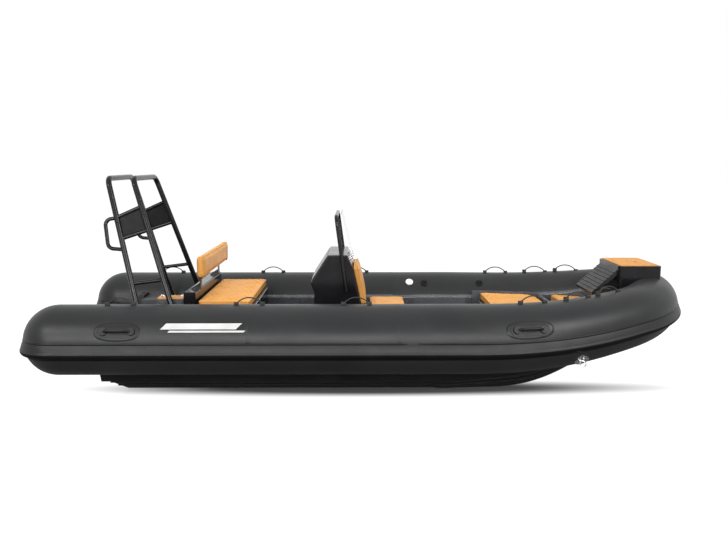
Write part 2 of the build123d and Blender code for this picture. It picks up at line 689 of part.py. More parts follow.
# Windscreen on the sloping brow of the console
brow_run = Vector(CONSOLE_TOP_X1 - CONSOLE_BROW_X, 0, CONSOLE_TOP_Z - CONSOLE_BROW_Z)
brow_normal = Vector(brow_run.Z, 0, -brow_run.X).normalized()
brow_centre = Vector((CONSOLE_TOP_X1 + CONSOLE_BROW_X) / 2, 0, (CONSOLE_TOP_Z + CONSOLE_BROW_Z) / 2)
screen_low = brow_centre + brow_normal * SCREEN_STANDOFF - brow_run * SCREEN_DROP_SHARE
screen_rise = SCREEN_TOP_Z - screen_low.Z
screen_run = Vector(-SCREEN_LEAN * screen_rise, 0, screen_rise)
screen_centre = screen_low + screen_run * 0.5
screen_plane = Plane(screen_centre, x_dir=(0, 1, 0), z_dir=(screen_run.Z, 0, -screen_run.X))
screen_face = screen_plane * RectangleRounded(2 * SCREEN_HALF_WIDTH, screen_run.length, SCREEN_CORNER_R)
save("windscreen", extrude(screen_face, SCREEN_THICK))
mount_plane = Plane(brow_centre, x_dir=(0, 1, 0), z_dir=brow_normal)
screen_back = Plane(screen_centre, x_dir=(0, 1, 0), z_dir=(-screen_run.Z, 0, screen_run.X))
mounts = []
for y in SCREEN_MOUNT_Y:
    stem = extrude(mount_plane * Pos(y, 0) * Circle(SCREEN_MOUNT_R), SCREEN_MOUNT_LENGTH)
    mounts.append(split(stem, screen_back, keep=Keep.TOP))
save("windscreen_mounts", Compound(children=mounts))

# Grab rail round the console
rail_y = CONSOLE_HALF_WIDTH + RAIL_STANDOFF + RAIL_R
rail_points = [
    (RAIL_FOOT_X, rail_y, RAIL_FOOT_Z),
    (RAIL_TOP_X, rail_y, RAIL_TOP_Z),
    (RAIL_TOP_X, -rail_y, RAIL_TOP_Z),
    (RAIL_FOOT_X, -rail_y, RAIL_FOOT_Z),
]
rail = pipe(rail_points, RAIL_R, RAIL_BEND_R)
for z in RAIL_STUD_Z:
    x = RAIL_FOOT_X + (RAIL_TOP_X - RAIL_FOOT_X) * (z - RAIL_FOOT_Z) / (RAIL_TOP_Z - RAIL_FOOT_Z)
    stud = rod((x, CONSOLE_HALF_WIDTH, z), (x, rail_y, z), RAIL_STUD_R)
    rail += both_sides(stud)
save("console_grab_rail", rail)

# Seat in front of the console
front_normal = Vector(1, 0, CONSOLE_FRONT_LEAN).normalized()


def front_x(z):
    return CONSOLE_BROW_X + CONSOLE_FRONT_LEAN * (CONSOLE_BROW_Z - z)


pad_height = (BACK_PAD_TOP_Z - BACK_PAD_LOW_Z) * sqrt(1 + CONSOLE_FRONT_LEAN**2)
pad_mid_z = (BACK_PAD_TOP_Z + BACK_PAD_LOW_Z) / 2
pad_centre = Vector(front_x(pad_mid_z), 0, pad_mid_z) + front_normal * SEAT_GAP
pad_plane = Plane(pad_centre, x_dir=(0, 1, 0), z_dir=front_normal)
pad_face = RectangleRounded(2 * FORE_SEAT_HALF_WIDTH, pad_height, CUSHION_CORNER_R)
back_pad = extrude(pad_plane * pad_face, BACK_PAD_THICK)
save("console_back_pad", back_pad)
fore_box_x0 = front_low_x + SEAT_GAP
fore_seat_z = FORE_SEAT_TOP_Z - CUSHION_THICK - LID_THICK - LID_GAP
fore_box = open_box(fore_box_x0, FORE_SEAT_X1, FORE_SEAT_HALF_WIDTH, SOLE_TOP_Z, fore_seat_z, BOX_WALL)
save("console_seat_box", fore_box)
fore_lid_x0 = front_x(fore_seat_z) + BACK_PAD_THICK + SIDE_GAP
save_lid("console_seat", seat_plan(fore_lid_x0, FORE_SEAT_X1, FORE_SEAT_HALF_WIDTH), fore_seat_z)

# Bow locker between side bolsters, and the bow deck, shaped to the cockpit
bow_z = BOW_SEAT_TOP_Z - CUSHION_THICK - LID_THICK - LID_GAP
locker_inset = COCKPIT_INSET + BOW_PLAY
bow_deck_z = BOW_SEAT_TOP_Z - CUSHION_THICK - SEAT_GAP


def raised(plan, z0, z1):
    """A plan carried up between two heights."""
    return Pos(0, 0, z0) * extrude(plan, z1 - z0, dir=(0, 0, 1))


def hatch_plan(margin):
    """The bow hatch's outline, grown by a margin; a negative margin shrinks it."""
    points = list(BOW_HATCH) + [(x, -half) for x, half in reversed(BOW_HATCH)]
    face = make_face(Polyline(*points, close=True))
    return offset(face, margin, kind=Kind.INTERSECTION) if margin else face


locker = raised(plan_face(locker_inset, BOW_LOCKER_X0, BOW_LOCKER_X1), SOLE_TOP_Z, bow_z)
locker -= raised(hatch_plan(-BOX_WALL), SOLE_TOP_Z + BOX_WALL, bow_z + 1)
save("bow_locker_box", locker)
save_lid("bow_locker", hatch_plan(0), bow_z)

# Side bolsters stand on the sole beside the locker and the seat
port_half = Pos(0, BEYOND / 2) * Rectangle(BEYOND, BEYOND)
passage_reach = BOW_LOCKER_X0 - BOLSTER_X0 + BOW_HATCH_PLAY
passage_half = BOW_HATCH[0][1] + BOW_HATCH_PLAY
passage = hatch_plan(BOW_HATCH_PLAY) + Pos(BOLSTER_X0, 0) * Rectangle(2 * passage_reach, 2 * passage_half)
top_plan = (plan_face(locker_inset, BOLSTER_X0, BOW_LOCKER_X1) & port_half) - passage
foot_plan = (plan_face(locker_inset, BOLSTER_X0, BOW_LOCKER_X0 - SEAT_GAP) & port_half) - passage
bolster = main_solid(raised(top_plan, bow_z + SEAT_GAP, BOLSTER_TOP_Z))
bolster += main_solid(raised(foot_plan, SOLE_TOP_Z, bow_z + SEAT_GAP))
save("bow_bolsters", both_sides(bolster))

deck_plan = plan_face(locker_inset, BOW_LOCKER_X1 + PANEL_GAP, BOW_DECK_X1)
bow_deck = raised(deck_plan, HULL_TOP_Z, bow_deck_z)
bow_deck -= block(-BEYOND, BOW_DECK_X0, -BEYOND, BEYOND, bow_z - BOW_DECK_DROP, BEYOND)
save("bow_deck", bow_deck)
fore_plan = plan_face(locker_inset + BOW_INSET, BOW_CUSHION_X0, BOW_DECK_X1 - BOW_INSET)
fore_cushion = raised(fore_plan, bow_deck_z + SEAT_GAP, bow_deck_z + SEAT_GAP + CUSHION_THICK)
save("bow_deck_cushion", fillet(fore_cushion.edges().group_by(Axis.Z)[-1], CUSHION_EDGE_R))

# Bow step astride the tubes
step = block(STEP_X0, STEP_X1, -STEP_HALF_WIDTH, STEP_HALF_WIDTH, STEP_LOW_Z, STEP_TOP_Z)
step = fillet(step.edges().filter_by(Axis.Z), STEP_CORNER_R)
step_room = block(
    STEP_X0 + STEP_WALL,
    STEP_X1 - STEP_WALL,
    STEP_WALL - STEP_HALF_WIDTH,
    STEP_HALF_WIDTH - STEP_WALL,
    STEP_FLOOR_Z,
    STEP_TOP_Z + 1,
)
step -= step_room
step = seated(step)
save("bow_step", step)
step_lid_z = STEP_TOP_Z + LID_GAP
grip_hole = Pos(STEP_GRIP_X, 0) * SlotOverall(STEP_GRIP_LENGTH, STEP_GRIP_WIDTH, rotation=90)


def step_plan(margin):
    size = (STEP_X1 - STEP_X0 - 2 * margin, 2 * (STEP_HALF_WIDTH - margin))
    return Pos((STEP_X0 + STEP_X1) / 2, 0) * RectangleRounded(*size, STEP_CORNER_R - margin / 2) - grip_hole


step_lid = Pos(0, 0, step_lid_z) * extrude(step_plan(0), STEP_LID_THICK, dir=(0, 0, 1))
save("bow_step_lid", step_lid)
step_pad_z = step_lid_z + STEP_LID_THICK
step_pad = Pos(0, 0, step_pad_z) * extrude(step_plan(STEP_PAD_MARGIN), STEP_PAD_THICK, dir=(0, 0, 1))
save("bow_step_pad", step_pad)
tread_outline = [
    (STEP_X0, STEP_TOP_Z - TREAD_DROP),
    (STEP_X0, STEP_TOP_Z - TREAD_DROP - 2 * TREAD_THICK),
    (TREAD_LOW_X, TREAD_LOW_Z),
    (TREAD_LOW_X - TREAD_LOW_SLANT, TREAD_LOW_Z + TREAD_THICK),
]
tread = prism(tread_outline, -TREAD_HALF_WIDTH, TREAD_HALF_WIDTH)
tread_top = Vector(STEP_X0, 0, STEP_TOP_Z - TREAD_DROP)
tread_run = Vector(TREAD_LOW_X - TREAD_LOW_SLANT, 0, TREAD_LOW_Z + TREAD_THICK) - tread_top
for step_number in range(1, TREAD_RIBS + 1):
    spot = tread_top + tread_run * (step_number / (TREAD_RIBS + 1))
    tread += rod((spot.X, -TREAD_HALF_WIDTH, spot.Z), (spot.X, TREAD_HALF_WIDTH, spot.Z), TREAD_RIB_R)
save("bow_tread", seated(tread))

# Grab loops on the tube tops: a cord between two feet
loops = []
for x in LOOP_X:
    station = Station(run_at(x))
    plane = station.plane
    top = Plane(plane.origin + plane.y_dir * station.r, x_dir=plane.z_dir, z_dir=plane.y_dir)
    side = Plane(top.origin, x_dir=top.x_dir, z_dir=-top.y_dir)
    half = LOOP_SPAN / 2
    arc = side * ThreePointArc((-half, LOOP_CORD_R), (0, LOOP_HEIGHT), (half, LOOP_CORD_R))
    loop = sweep(Plane(arc @ 0, z_dir=arc % 0) * Circle(LOOP_CORD_R), arc)
    length, width, height = LOOP_PAD
    for shift in (-half, half):
        loop += top * Pos(shift, 0, height / 2) * Box(length, width, height + 2 * PATCH_SINK)
    loops.append(seated(loop))
loops_port = Compound(children=loops)
save("grab_loops_port", loops_port)
save("grab_loops_starboard", mirror(loops_port, about=Plane.XZ))


def tube_face(x, angle):
    """Plane on the tube wall at x and an angle above outboard, with its z pointing out."""
    station = Station(run_at(x))
    plane, r = station.plane, station.r
    outward = plane.x_dir * cos(radians(angle)) + plane.y_dir * sin(radians(angle))
    return Plane(plane.origin + outward * r, x_dir=plane.z_dir, z_dir=outward)


# Moulded hand grips on the outboard side of the tubes: an oval base, two raised ends and a bar
grips = []
for x in GRIP_X:
    station = Station(run_at(x))
    face = tube_face(x, GRIP_ANGLE)
    skin = extrude(station.plane * Circle(station.r + GRIP_BASE_THICK), GRIP_LENGTH, both=True)
    base = extrude(face * SlotOverall(GRIP_LENGTH, GRIP_WIDTH), GRIP_WIDTH / 2, both=True) & skin
    end_x = GRIP_LENGTH / 2 - GRIP_WIDTH / 2
    for sign in (-1, 1):
        boss = face * Pos(sign * end_x, 0) * Circle(GRIP_END_R)
        base += extrude(boss, GRIP_END_THICK, taper=GRIP_END_TAPER)
    side = Plane(face.origin, x_dir=face.x_dir, z_dir=-face.y_dir)
    rise = GRIP_REACH - GRIP_BAR_R
    points = [(-end_x, 0), (GRIP_SLOPE - end_x, rise), (end_x - GRIP_SLOPE, rise), (end_x, 0)]
    path = side * FilletPolyline(*points, radius=GRIP_BEND_R)
    bar = sweep(Plane(path @ 0, z_dir=path % 0) * Circle(GRIP_BAR_R), path)
    grips.append(seated(base + bar))
grips_port = Compound(children=grips)
save("hand_grips_port", grips_port)
save("hand_grips_starboard", mirror(grips_port, about=Plane.XZ))

# Inflation valves and rings
valve = extrude(tube_face(VALVE_X, VALVE_ANGLE) * Circle(VALVE_R), VALVE_THICK)
valve += extrude(tube_face(VALVE_X, VALVE_ANGLE) * Circle(VALVE_R), -PATCH_SINK)
save("tube_valves", both_sides(seated(valve)))


def tube_ring(x, angle, patch_r, ring_r):
    """A ring of wire that stands on a round patch on the tube."""
    face = tube_face(x, angle)
    patch = extrude(face * Circle(patch_r), TOW_PATCH_THICK) + extrude(face * Circle(patch_r), -PATCH_SINK)
    wire = Torus(ring_r, TOW_WIRE_R)
    return seated(patch) + face * Pos(0, 0, ring_r + TOW_PATCH_THICK) * Rot(X=90) * wire


save("towing_rings", both_sides(tube_ring(TOW_RING_X, TOW_RING_ANGLE, TOW_PATCH_R, TOW_RING_R)))
lashing = [tube_ring(x, LASHING_ANGLE, LASHING_PATCH_R, LASHING_RING_R) for x in LASHING_X]
save("lashing_rings", both_sides(Compound(children=lashing)))
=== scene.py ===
import bpy
import json
from math import asin, ceil, copysign, cos, hypot, pi, radians, sin, sqrt
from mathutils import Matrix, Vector, noise


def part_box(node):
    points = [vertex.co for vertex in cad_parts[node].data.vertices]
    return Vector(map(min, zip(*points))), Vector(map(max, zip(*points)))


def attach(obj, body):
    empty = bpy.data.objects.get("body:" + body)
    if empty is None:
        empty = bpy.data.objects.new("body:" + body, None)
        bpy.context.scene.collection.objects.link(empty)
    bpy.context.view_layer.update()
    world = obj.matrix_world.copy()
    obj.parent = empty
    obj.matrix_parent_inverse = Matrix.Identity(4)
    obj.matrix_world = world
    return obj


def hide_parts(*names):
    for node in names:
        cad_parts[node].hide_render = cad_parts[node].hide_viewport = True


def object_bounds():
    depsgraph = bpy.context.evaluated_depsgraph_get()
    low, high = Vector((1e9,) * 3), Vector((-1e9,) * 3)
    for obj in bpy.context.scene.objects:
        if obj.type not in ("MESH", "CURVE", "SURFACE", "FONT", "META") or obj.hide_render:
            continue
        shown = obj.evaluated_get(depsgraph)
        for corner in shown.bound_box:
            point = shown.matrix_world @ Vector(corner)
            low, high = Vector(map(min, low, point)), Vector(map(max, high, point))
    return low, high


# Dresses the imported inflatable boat: metres, +X bow, +Y port, +Z up, origin at the waterline amidships.

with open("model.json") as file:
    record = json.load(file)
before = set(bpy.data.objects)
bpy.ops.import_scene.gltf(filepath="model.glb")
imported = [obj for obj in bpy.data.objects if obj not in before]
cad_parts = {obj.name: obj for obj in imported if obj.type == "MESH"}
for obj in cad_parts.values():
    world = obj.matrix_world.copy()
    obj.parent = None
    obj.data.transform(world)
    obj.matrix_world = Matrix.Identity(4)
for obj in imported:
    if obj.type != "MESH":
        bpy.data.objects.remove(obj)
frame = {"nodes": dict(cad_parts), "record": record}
cad_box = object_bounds()

ROOT = "boat"
FLOOR_Z = cad_box[0][2] - 0.0005

# Air tube shape, as in the CAD
TUBE_R = 0.258
TUBE_BOW_R = 0.222
TUBE_Y = 0.875
TUBE_Z = 0.340
TUBE_STERN_X = -2.312
BOW_START_X = 0.670
BOW_ARC_R = 2.770
BOW_ARC_TURN = radians(26.9)
BOW_RISE = 0.160
BOW_SEAM_X = 0.170
BOW_TIP_R = (TUBE_Y - BOW_ARC_R * (1 - cos(BOW_ARC_TURN))) / cos(BOW_ARC_TURN)
BOW_CENTRE_X = BOW_START_X + (BOW_ARC_R - BOW_TIP_R) * sin(BOW_ARC_TURN)
BOW_ARC_LENGTH = BOW_ARC_R * BOW_ARC_TURN
BOW_LENGTH = BOW_ARC_LENGTH + BOW_TIP_R * (pi / 2 - BOW_ARC_TURN)
STERN_RUN = TUBE_STERN_X - BOW_START_X
STERN_ROUND = TUBE_R * pi


def station(run):
    """
    The port tube at a run, which is the way along it past the straight part's fore end.
    Gives its centre, its outboard direction and its radius.
    """
    if run < STERN_RUN:
        turn = (run - STERN_RUN) / TUBE_R
        x, y = TUBE_STERN_X, TUBE_Y
    elif run <= 0:
        turn = 0.0
        x, y = BOW_START_X + run, TUBE_Y
    elif run <= BOW_ARC_LENGTH:
        turn = run / BOW_ARC_R
        x, y = BOW_START_X + BOW_ARC_R * sin(turn), TUBE_Y - BOW_ARC_R * (1 - cos(turn))
    else:
        turn = BOW_ARC_TURN + (run - BOW_ARC_LENGTH) / BOW_TIP_R
        x, y = BOW_CENTRE_X + BOW_TIP_R * sin(turn), BOW_TIP_R * cos(turn)
    share = max(0.0, run / BOW_LENGTH)
    z = TUBE_Z + BOW_RISE * share**3 * (4 - 3 * share)
    radius = TUBE_R + (TUBE_BOW_R - TUBE_R) * share**2 * (3 - 2 * share)
    return Vector((x, y, z)), Vector((sin(turn), cos(turn), 0)), radius


def run_at(x):
    """The run at which the port tube's centre line passes x."""
    if x <= BOW_START_X:
        return x - BOW_START_X
    angle = asin(min(1.0, (x - BOW_START_X) / BOW_ARC_R))
    if angle <= BOW_ARC_TURN:
        return BOW_ARC_R * angle
    angle = asin(min(1.0, (x - BOW_CENTRE_X) / BOW_TIP_R))
    return BOW_ARC_LENGTH + BOW_TIP_R * (angle - BOW_ARC_TURN)


def on_tube(run, angle, lift):
    """A point lifted off the port tube's skin, at an angle above outboard. Past the bow it goes on to starboard."""
    flip = run > BOW_LENGTH
    centre, across, radius = station(2 * BOW_LENGTH - run if flip else run)
    point = centre + (across * cos(angle) + Vector((0, 0, sin(angle)))) * (radius + lift)
    if flip:
        point.y = -point.y
    return point


# Materials
def add(tree, kind, **values):
    node = tree.nodes.new(kind)
    for key, value in values.items():
        setattr(node, key, value)
    return node


def surface(name, colour, rough, metal=0.0, **sockets):
    """A principled material; the sockets' names have _ for a space."""
    material = bpy.data.materials.new(name)
    material.use_nodes = True
    shader = material.node_tree.nodes["Principled BSDF"]
    shader.inputs["Base Color"].default_value = (*colour, 1)
    shader.inputs["Roughness"].default_value = rough
    shader.inputs["Metallic"].default_value = metal
    for key, value in sockets.items():
        shader.inputs[key.replace("_", " ")].default_value = value
    return material


def coords(tree):
    """Places in the object's own frame, through a mapping."""
    place = add(tree, "ShaderNodeTexCoord")
    mapping = add(tree, "ShaderNodeMapping")
    tree.links.new(place.outputs["Object"], mapping.inputs["Vector"])
    return mapping.outputs["Vector"]


def noisy(tree, scale, detail):
    """A noise over the object, from 0 to 1."""
    texture = add(tree, "ShaderNodeTexNoise")
    texture.inputs["Scale"].default_value = scale
    texture.inputs["Detail"].default_value = detail
    tree.links.new(coords(tree), texture.inputs["Vector"])
    return texture.outputs["Fac"]


def tint(material, low, high, scale):
    """Base colour that drifts between two colours with a noise."""
    tree = material.node_tree
    drift = noisy(tree, scale, 6)
    ramp = add(tree, "ShaderNodeValToRGB")
    ramp.color_ramp.elements[0].position = 0.32
    ramp.color_ramp.elements[1].position = 0.68
    ramp.color_ramp.elements[0].color = (*low, 1)
    ramp.color_ramp.elements[1].color = (*high, 1)
    tree.links.new(drift, ramp.inputs["Fac"])
    tree.links.new(ramp.outputs["Color"], tree.nodes["Principled BSDF"].inputs["Base Color"])
    return material


def wear(material, low, high, scale):
    """Roughness that drifts between two values with a noise."""
    tree = material.node_tree
    drift = noisy(tree, scale, 8)
    spread = add(tree, "ShaderNodeMapRange")
    spread.inputs["From Min"].default_value = 0.3
    spread.inputs["From Max"].default_value = 0.7
    spread.inputs["To Min"].default_value = low
    spread.inputs["To Max"].default_value = high
    tree.links.new(drift, spread.inputs["Value"])
    tree.links.new(spread.outputs["Result"], tree.nodes["Principled BSDF"].inputs["Roughness"])
    return material


def coat(name, colour, rough, tints, drift, roughs, blotch, metal=0.0, **sockets):
    """A surface with two tints that drift at one scale and a range of roughness that drifts at another."""
    return wear(tint(surface(name, colour, rough, metal, **sockets), *tints, drift), *roughs, blotch)


def relief(material, height, distance, strength):
    """Adds a height to the material's bump, on top of what is there."""
    tree = material.node_tree
    shader = tree.nodes["Principled BSDF"]
    bump = add(tree, "ShaderNodeBump")
    bump.inputs["Strength"].default_value = strength
    bump.inputs["Distance"].default_value = distance
    tree.links.new(height, bump.inputs["Height"])
    for link in list(shader.inputs["Normal"].links):
        tree.links.new(link.from_socket, bump.inputs["Normal"])
    tree.links.new(bump.outputs["Normal"], shader.inputs["Normal"])
    return material


def grain(material, scale, distance, strength, detail=4.0):
    """A fine or a broad unevenness."""
    return relief(material, noisy(material.node_tree, scale, detail), distance, strength)


def pebble(material, scale, distance, strength):
    """A leather-like grain of small cells."""
    tree = material.node_tree
    texture = add(tree, "ShaderNodeTexVoronoi", feature="SMOOTH_F1")
    texture.inputs["Scale"].default_value = scale
    texture.inputs["Smoothness"].default_value = 0.5
    tree.links.new(coords(tree), texture.inputs["Vector"])
    return relief(material, texture.outputs["Distance"], distance, strength)


WAVE_SCALE = 0.314159  # the wave texture's scale for bands one metre apart


def ribs(material, axis, pitch, distance, strength):
    """Straight ribs across an axis."""
    tree = material.node_tree
    texture = add(tree, "ShaderNodeTexWave", wave_type="BANDS", bands_direction=axis, wave_profile="SIN")
    texture.inputs["Scale"].default_value = WAVE_SCALE / pitch
    tree.links.new(coords(tree), texture.inputs["Vector"])
    return relief(material, texture.outputs["Fac"], distance, strength)


def grey(level):
    return (level, level, level)


FINISH = {}
material = coat(
    "tube_fabric", grey(0.02), 0.4, ((0.010, 0.0103, 0.011), (0.015, 0.0154, 0.0163)), 2.2, (0.35, 0.42), 5,
    Specular_IOR_Level=0.28,
)
FINISH["tube_fabric"] = grain(grain(material, 1400, 0.0006, 0.35), 2.6, 0.012, 0.35, 2.0)
material = coat(
    "strake_rubber", grey(0.01), 0.5, ((0.009, 0.009, 0.010), (0.014, 0.014, 0.015)), 6, (0.38, 0.48), 9,
    Specular_IOR_Level=0.25,
)
FINISH["strake_rubber"] = grain(material, 700, 0.0008, 0.4)
# strake_shade: near-black with almost no shine, painted shade on the strake's downward face
material = coat(
    "strake_shade", grey(0.003), 0.6, (grey(0.002), grey(0.004)), 6, (0.55, 0.65), 9, Specular_IOR_Level=0.08
)
FINISH["strake_shade"] = grain(material, 700, 0.0008, 0.4)
material = coat(
    "hull_gelcoat", (0.007, 0.007, 0.008), 0.4, ((0.005, 0.005, 0.006), (0.009, 0.009, 0.010)), 3, (0.40, 0.52), 6,
    Specular_IOR_Level=0.2,
)
FINISH["hull_gelcoat"] = grain(material, 30, 0.0006, 0.2)
# liner_gelcoat: a mid grey that is partly the liner's own colour and partly a painted reflection, raised everywhere
# toward the light band the coaming reflects
material = coat(
    "liner_gelcoat", (0.06, 0.06, 0.065), 0.3, ((0.056, 0.058, 0.063), (0.076, 0.078, 0.084)), 4, (0.22, 0.34), 8
)
FINISH["liner_gelcoat"] = grain(material, 400, 0.0008, 0.3)
material = coat(
    "console_gelcoat", (0.006, 0.006, 0.007), 0.2, ((0.004, 0.004, 0.005), (0.008, 0.008, 0.009)), 4, (0.12, 0.20),
    8, Specular_IOR_Level=0.2,
)
FINISH["console_gelcoat"] = grain(material, 500, 0.0006, 0.25)
material = coat(
    "seat_vinyl", (0.66, 0.31, 0.07), 0.45, ((0.53, 0.240, 0.050), (0.61, 0.293, 0.068)), 7, (0.40, 0.52), 12,
    Specular_IOR_Level=0.3,
)
FINISH["seat_vinyl"] = pebble(grain(material, 60, 0.002, 0.25), 520, 0.0007, 0.45)
material = coat(
    "deck_foam", (0.60, 0.30, 0.10), 0.7, ((0.49, 0.228, 0.060), (0.57, 0.282, 0.085)), 9, (0.62, 0.78), 20
)
FINISH["deck_foam"] = ribs(material, "Y", 0.012, 0.002, 0.8)
material = coat(
    "arch_paint", (0.005, 0.005, 0.006), 0.2, ((0.004, 0.004, 0.0045), (0.007, 0.007, 0.008)), 14, (0.16, 0.26), 22,
    Specular_IOR_Level=0.25,
)
FINISH["arch_paint"] = grain(material, 900, 0.0003, 0.2)
material = coat(
    "panel_paint", (0.006, 0.006, 0.007), 0.6, ((0.005, 0.005, 0.006), (0.009, 0.009, 0.010)), 14, (0.55, 0.68), 22,
    Specular_IOR_Level=0.2,
)
FINISH["panel_paint"] = grain(material, 1200, 0.0004, 0.3)
material = coat(
    "stripe_white", grey(0.6), 0.4, ((0.50, 0.50, 0.495), (0.58, 0.58, 0.575)), 9, (0.34, 0.44), 12,
    Specular_IOR_Level=0.3,
)
FINISH["stripe_white"] = grain(material, 1400, 0.0005, 0.3)
material = surface("screen_acrylic", (0.96, 0.98, 0.985), 0.03, Transmission_Weight=1.0, IOR=1.2)
FINISH["screen_acrylic"] = wear(material, 0.015, 0.04, 5)
material = coat(
    "bright_metal", (0.7, 0.7, 0.72), 0.2, ((0.62, 0.62, 0.64), (0.74, 0.74, 0.76)), 30, (0.12, 0.26), 40, metal=1.0
)
FINISH["bright_metal"] = grain(material, 600, 0.0003, 0.2)
material = coat(
    "valve_plastic", (0.7, 0.7, 0.68), 0.35, ((0.62, 0.62, 0.60), (0.72, 0.72, 0.70)), 20, (0.3, 0.42), 30
)
FINISH["valve_plastic"] = grain(material, 500, 0.0004, 0.2)
material = coat(
    "grip_rubber", grey(0.005), 0.4, ((0.003, 0.003, 0.0035), (0.006, 0.006, 0.0065)), 15, (0.34, 0.44), 16,
    Specular_IOR_Level=0.25,
)
FINISH["grip_rubber"] = grain(material, 1000, 0.0006, 0.35)
material = coat("cord_black", grey(0.01), 0.7, (grey(0.008), (0.018, 0.018, 0.019)), 60, (0.6, 0.8), 60)
FINISH["cord_black"] = ribs(material, "DIAGONAL", 0.003, 0.001, 0.7)

SLOT_OF = {part["node"]: part["material_slot"] for part in frame["record"]["subparts"]}
BODY_OF = {node: body for body, nodes in frame["record"]["behaviour"]["bodies"].items() for node in nodes}
for node, obj in frame["nodes"].items():
    obj.data.materials.clear()
    obj.data.materials.append(FINISH[SLOT_OF[node]])


# Making pieces
def piece(name, verts, faces, finish, smooth=True):
    """A piece of the boat's own body."""
    mesh = bpy.data.meshes.new(name)
    mesh.from_pydata([tuple(v) for v in verts], [], faces)
    mesh.validate()
    mesh.update()
    obj = bpy.data.objects.new(name, mesh)
    bpy.context.scene.collection.objects.link(obj)
    if smooth:
        mesh.shade_smooth()
    mesh.materials.append(FINISH[finish])
    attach(obj, ROOT)
    return obj


def grid_faces(rows, cols):
    return [
        (i * cols + j, i * cols + j + 1, (i + 1) * cols + j + 1, (i + 1) * cols + j)
        for i in range(rows - 1)
        for j in range(cols - 1)
    ]


def mirror_mesh(verts, faces):
    """The port side's mesh and its mirror image to starboard, as one mesh."""
    count = len(verts)
    twin = [Vector((v[0], -v[1], v[2])) for v in verts]
    return list(verts) + twin, list(faces) + [tuple(count + i for i in reversed(face)) for face in faces]


TAPE_EDGE = 0.002
TAPE_SUNK = -0.0006
PATCH_SUNK = -0.0008


def band(name, run0, run1, angle0, angle1, lift, finish, step, both=False):
    """A tape on the tube's skin, with its edges just under the skin."""
    rows = max(2, ceil((run1 - run0) / step) + 1)
    cols = max(2, ceil((angle1 - angle0) / radians(3)) + 1)
    along = [run0 + (run1 - run0) * i / (rows - 1) for i in range(rows)]
    runs = [run0 - TAPE_EDGE] + along + [run1 + TAPE_EDGE]
    wide = TAPE_EDGE / TUBE_R
    around = [angle0 + (angle1 - angle0) * j / (cols - 1) for j in range(cols)]
    angles = [angle0 - wide] + around + [angle1 + wide]
    verts = []
    for i, run in enumerate(runs):
        for j, angle in enumerate(angles):
            edge = i in (0, len(runs) - 1) or j in (0, len(angles) - 1)
            verts.append(on_tube(run, angle, TAPE_SUNK if edge else lift))
    faces = grid_faces(len(runs), len(angles))
    if both:
        verts, faces = mirror_mesh(verts, faces)
    return piece(name, verts, faces, finish)


def patch(name, run, angle, outline, lift, finish):
    """A glued patch on both tubes: outline points are (along, up) from its centre."""
    rings = ((0.0, lift), (0.45, lift), (0.9, lift), (0.975, lift * 0.85), (1.0, PATCH_SUNK))
    verts = []
    for share, height in rings:
        for s, t in outline:
            verts.append(on_tube(run + s * share, angle + t * share / TUBE_R, height))
    count = len(outline)
    faces = []
    for ring in range(len(rings) - 1):
        for i in range(count):
            j = (i + 1) % count
            a, b = ring * count, (ring + 1) * count
            if ring == 0:
                faces.append((a, b + i, b + j))
            else:
                faces.append((a + i, b + i, b + j, a + j))
    return piece(name, *mirror_mesh(verts, faces), finish)


def oval(length, width, power=2.6, count=48):
    points = []
    for i in range(count):
        a = 2 * pi * i / count
        x = copysign(abs(cos(a)) ** (2 / power), cos(a)) * length / 2
        y = copysign(abs(sin(a)) ** (2 / power), sin(a)) * width / 2
        points.append((x, y))
    return points


# The strake's outer skin: a flat slope from the tube down to the CAD strake's crest, and below it a near-black,
# almost unreflecting foot that is painted shade where the strake faces down
STRAKE_ANGLE = -asin(0.059 / TUBE_R)
STRAKE_R = 0.030
STRAKE_TOP = radians(3.0)
STRAKE_EDGE = radians(-11.2)
STRAKE_FOOT = radians(-24.0)
STRAKE_LAYER = 0.0015
SLOPE_SHARE = 0.985
STRAKE_STEP = 0.02


def strake_lift(angle):
    """Height of the strake's skin: a flat slope down from each side to its round crest."""
    offset = (angle - STRAKE_ANGLE) * TUBE_R
    crest = sqrt(max(0.0, STRAKE_R**2 - offset**2))
    end = STRAKE_TOP if offset > 0 else STRAKE_FOOT
    slope = STRAKE_R * SLOPE_SHARE * (angle - end) / (STRAKE_ANGLE - end)
    return max(crest, slope) + STRAKE_LAYER


def strake_skin(name, low, high, finish, count=24):
    """A strip of the skin, from one stern round the bow to the other, kept inside the CAD's box."""
    reach = STERN_ROUND * 0.98
    run0, run1 = STERN_RUN - reach, 2 * BOW_LENGTH - STERN_RUN + reach
    rows = ceil((run1 - run0) / STRAKE_STEP) + 1
    angles = [low + (high - low) * j / count for j in range(count + 1)]
    lifts = [strake_lift(angle) for angle in (low, *angles[1:-1], high)]
    if low == STRAKE_FOOT:
        lifts[0] = PATCH_SUNK
    if high == STRAKE_TOP:
        lifts[-1] = PATCH_SUNK
    verts = []
    for i in range(rows):
        run = run0 + (run1 - run0) * i / (rows - 1)
        verts += [on_tube(run, angle, lift) for angle, lift in zip(angles, lifts)]
    for vert in verts:
        for axis in (0, 1):
            vert[axis] = max(cad_box[0][axis], min(cad_box[1][axis], vert[axis]))
    return piece(name, verts, grid_faces(rows, len(angles)), finish)


strake_skin("strake_skin", STRAKE_EDGE, STRAKE_TOP, "strake_rubber")
# The foot below the crest is painted shade in near-black
strake_skin("strake_foot", STRAKE_FOOT, STRAKE_EDGE, "strake_shade")
# A near-black rubber band along the strake's top edge: painted shade in the crease where the strake meets the tube
band(
    "strake_line",
    STERN_RUN - STERN_ROUND,
    2 * BOW_LENGTH - STERN_RUN + STERN_ROUND,
    STRAKE_TOP + radians(0.3),
    STRAKE_TOP + radians(2.3),
    0.0028,
    "grip_rubber",
    STRAKE_STEP,
)

